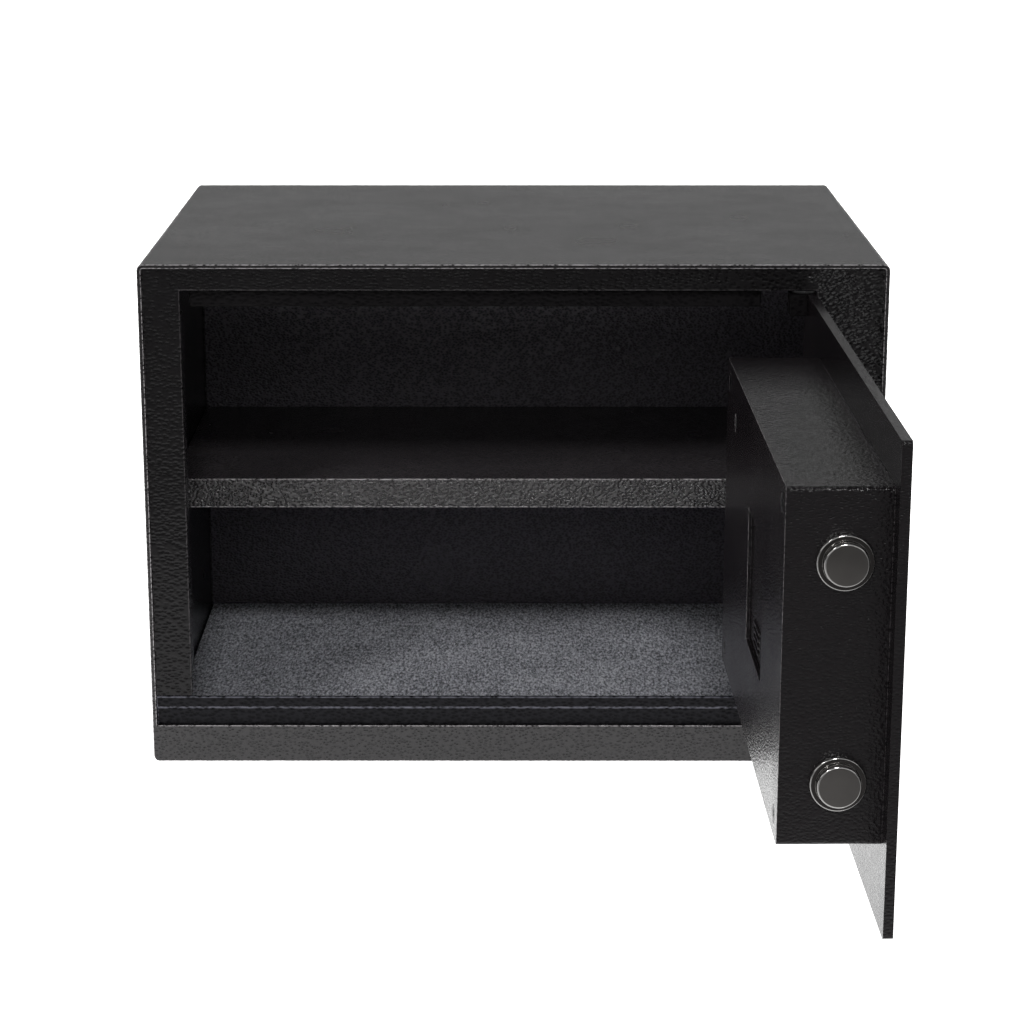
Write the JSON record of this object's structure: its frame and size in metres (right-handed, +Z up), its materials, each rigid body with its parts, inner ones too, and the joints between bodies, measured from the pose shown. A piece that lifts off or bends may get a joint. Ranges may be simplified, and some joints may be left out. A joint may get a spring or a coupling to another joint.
{
  "type": "mini safe",
  "caption": "Small steel safe with an inset door open to the right, lock box with two round bolts behind it, one shelf, felt floor mat, keypad and knob.",
  "frame": {"origin": "middle of the base, on the surface that the safe stands on", "axes": "+X to the hinge side as seen from the front, +Y to the back, +Z up"},
  "size_m": [0.35, 0.5337, 0.245],
  "materials": {
    "hammertone_black": "black powder coat with a hammertone texture",
    "felt": "blue-grey speckled felt",
    "nylon": "natural nylon",
    "steel": "zinc-plated steel",
    "black_screw": "black oxide",
    "chrome": "polished chrome plate",
    "brass": "turned brass",
    "copper": "enamelled copper winding",
    "black_plastic": "fine-textured black ABS",
    "key_plastic": "light grey keys",
    "circuit_green": "green solder mask",
    "lens": "clear tinted lens",
    "cell_wrap": "plain grey cell wrap",
    "cable_red": "insulated cable"
  },
  "bodies": {
    "body": {"outer_shell": "hammertone_black", "back_plate": "hammertone_black", "front_frame": "hammertone_black", "sill_rail": "hammertone_black", "strike_angle": "hammertone_black", "door_stop": "hammertone_black", "pivot_brackets": "hammertone_black", "shelf": "hammertone_black", "shelf_rails": "hammertone_black", "floor_mat": "felt"},
    "door": {"hinge_washers": "nylon", "door_plate": "hammertone_black", "hinge_blocks": "hammertone_black", "hinge_pins": "steel", "lock_box": "hammertone_black", "box_posts": "steel", "box_screws": "black_screw", "bolt_rings": "chrome", "guide_post": "steel", "spindle_bush": "brass", "solenoid_frame": "steel", "solenoid_coil": "copper", "plunger_spring": "steel", "lock_barrel": "chrome", "lock_nut": "steel", "cover_rivet": "chrome", "keypad_housing": "black_plastic", "keypad_board": "circuit_green", "housing_screws": "steel", "status_lenses": "lens", "control_board": "circuit_green", "battery_case": "black_plastic", "battery_cells": "cell_wrap", "wiring": "cable_red", "board_screws": "steel"},
    "bolt_set": {"locking_bolts": "chrome", "bolt_nuts": "steel", "bolt_carrier": "steel"},
    "knob_set": {"knob": "black_plastic", "knob_spindle": "steel", "drive_cam": "steel", "cam_screw": "steel"},
    "plunger": {"solenoid_plunger": "steel"},
    "plug": {"lock_plug": "brass", "lock_cam": "steel"},
    "keyhole_cover": {"override_cover": "black_plastic"},
    "reset": {"reset_button": "black_plastic"},
    "bay_cover": {"battery_cover": "hammertone_black"},
    "press_key_1": {"key_1": "key_plastic"},
    "press_key_2": {"key_2": "key_plastic"},
    "press_key_3": {"key_3": "key_plastic"},
    "press_key_4": {"key_4": "key_plastic"},
    "press_key_5": {"key_5": "key_plastic"},
    "press_key_6": {"key_6": "key_plastic"},
    "press_key_7": {"key_7": "key_plastic"},
    "press_key_8": {"key_8": "key_plastic"},
    "press_key_9": {"key_9": "key_plastic"},
    "press_key_clear": {"key_clear": "key_plastic"},
    "press_key_0": {"key_0": "key_plastic"},
    "press_key_enter": {"key_enter": "key_plastic"}
  },
  "joints": [
    {"name": "door_hinge", "type": "hinge", "parent": "body", "child": "door", "pos_m": [0.1357, -0.1185, 0.13285], "axis": [0, 0, 1], "range_deg": [-90.8, 4.2]},
    {"name": "knob_turn", "type": "hinge", "parent": "door", "child": "knob_set", "pos_m": [0.15185, -0.20098, 0.14], "axis": [0.9999, 0.014, 0], "range_deg": [0, 90]},
    {"name": "bolt_slide", "type": "slide", "parent": "door", "child": "bolt_set", "axis": [0.014, -0.9999, 0], "range_m": [0, 0.017]},
    {"name": "plunger_slide", "type": "slide", "parent": "door", "child": "plunger", "axis": [0, 0, -1], "range_m": [0, 0.004], "stiffness_N_per_m": 60, "springref_m": -0.004, "deforming": ["plunger_spring"]},
    {"name": "plug_turn", "type": "hinge", "parent": "door", "child": "plug", "pos_m": [0.15238, -0.23898, 0.112], "axis": [-0.9999, -0.014, 0], "range_deg": [0, 90]},
    {"name": "keyhole_cover_swing", "type": "hinge", "parent": "door", "child": "keyhole_cover", "pos_m": [0.15238, -0.23898, 0.126], "axis": [-0.9999, -0.014, 0], "range_deg": [0, 110]},
    {"name": "reset_push", "type": "slide", "parent": "door", "child": "reset", "axis": [0.9999, 0.014, 0], "range_m": [0, 0.0008], "stiffness_N_per_m": 300},
    {"name": "battery_cover_slide", "type": "slide", "parent": "door", "child": "bay_cover", "axis": [0, 0, 1], "range_m": [0, 0.034]},
    {"name": "key_1_press", "type": "slide", "parent": "door", "child": "press_key_1", "axis": [-0.9999, -0.014, 0], "range_m": [0, 0.0008], "stiffness_N_per_m": 300},
    {"name": "key_2_press", "type": "slide", "parent": "door", "child": "press_key_2", "axis": [-0.9999, -0.014, 0], "range_m": [0, 0.0008], "stiffness_N_per_m": 300},
    {"name": "key_3_press", "type": "slide", "parent": "door", "child": "press_key_3", "axis": [-0.9999, -0.014, 0], "range_m": [0, 0.0008], "stiffness_N_per_m": 300},
    {"name": "key_4_press", "type": "slide", "parent": "door", "child": "press_key_4", "axis": [-0.9999, -0.014, 0], "range_m": [0, 0.0008], "stiffness_N_per_m": 300},
    {"name": "key_5_press", "type": "slide", "parent": "door", "child": "press_key_5", "axis": [-0.9999, -0.014, 0], "range_m": [0, 0.0008], "stiffness_N_per_m": 300},
    {"name": "key_6_press", "type": "slide", "parent": "door", "child": "press_key_6", "axis": [-0.9999, -0.014, 0], "range_m": [0, 0.0008], "stiffness_N_per_m": 300},
    {"name": "key_7_press", "type": "slide", "parent": "door", "child": "press_key_7", "axis": [-0.9999, -0.014, 0], "range_m": [0, 0.0008], "stiffness_N_per_m": 300},
    {"name": "key_8_press", "type": "slide", "parent": "door", "child": "press_key_8", "axis": [-0.9999, -0.014, 0], "range_m": [0, 0.0008], "stiffness_N_per_m": 300},
    {"name": "key_9_press", "type": "slide", "parent": "door", "child": "press_key_9", "axis": [-0.9999, -0.014, 0], "range_m": [0, 0.0008], "stiffness_N_per_m": 300},
    {"name": "key_clear_press", "type": "slide", "parent": "door", "child": "press_key_clear", "axis": [-0.9999, -0.014, 0], "range_m": [0, 0.0008], "stiffness_N_per_m": 300},
    {"name": "key_0_press", "type": "slide", "parent": "door", "child": "press_key_0", "axis": [-0.9999, -0.014, 0], "range_m": [0, 0.0008], "stiffness_N_per_m": 300},
    {"name": "key_enter_press", "type": "slide", "parent": "door", "child": "press_key_enter", "axis": [-0.9999, -0.014, 0], "range_m": [0, 0.0008], "stiffness_N_per_m": 300}
  ],
  "couplings": [
    {"joint": "knob_turn", "follows": "bolt_slide", "rad_per_m": 92.4}
  ]
}
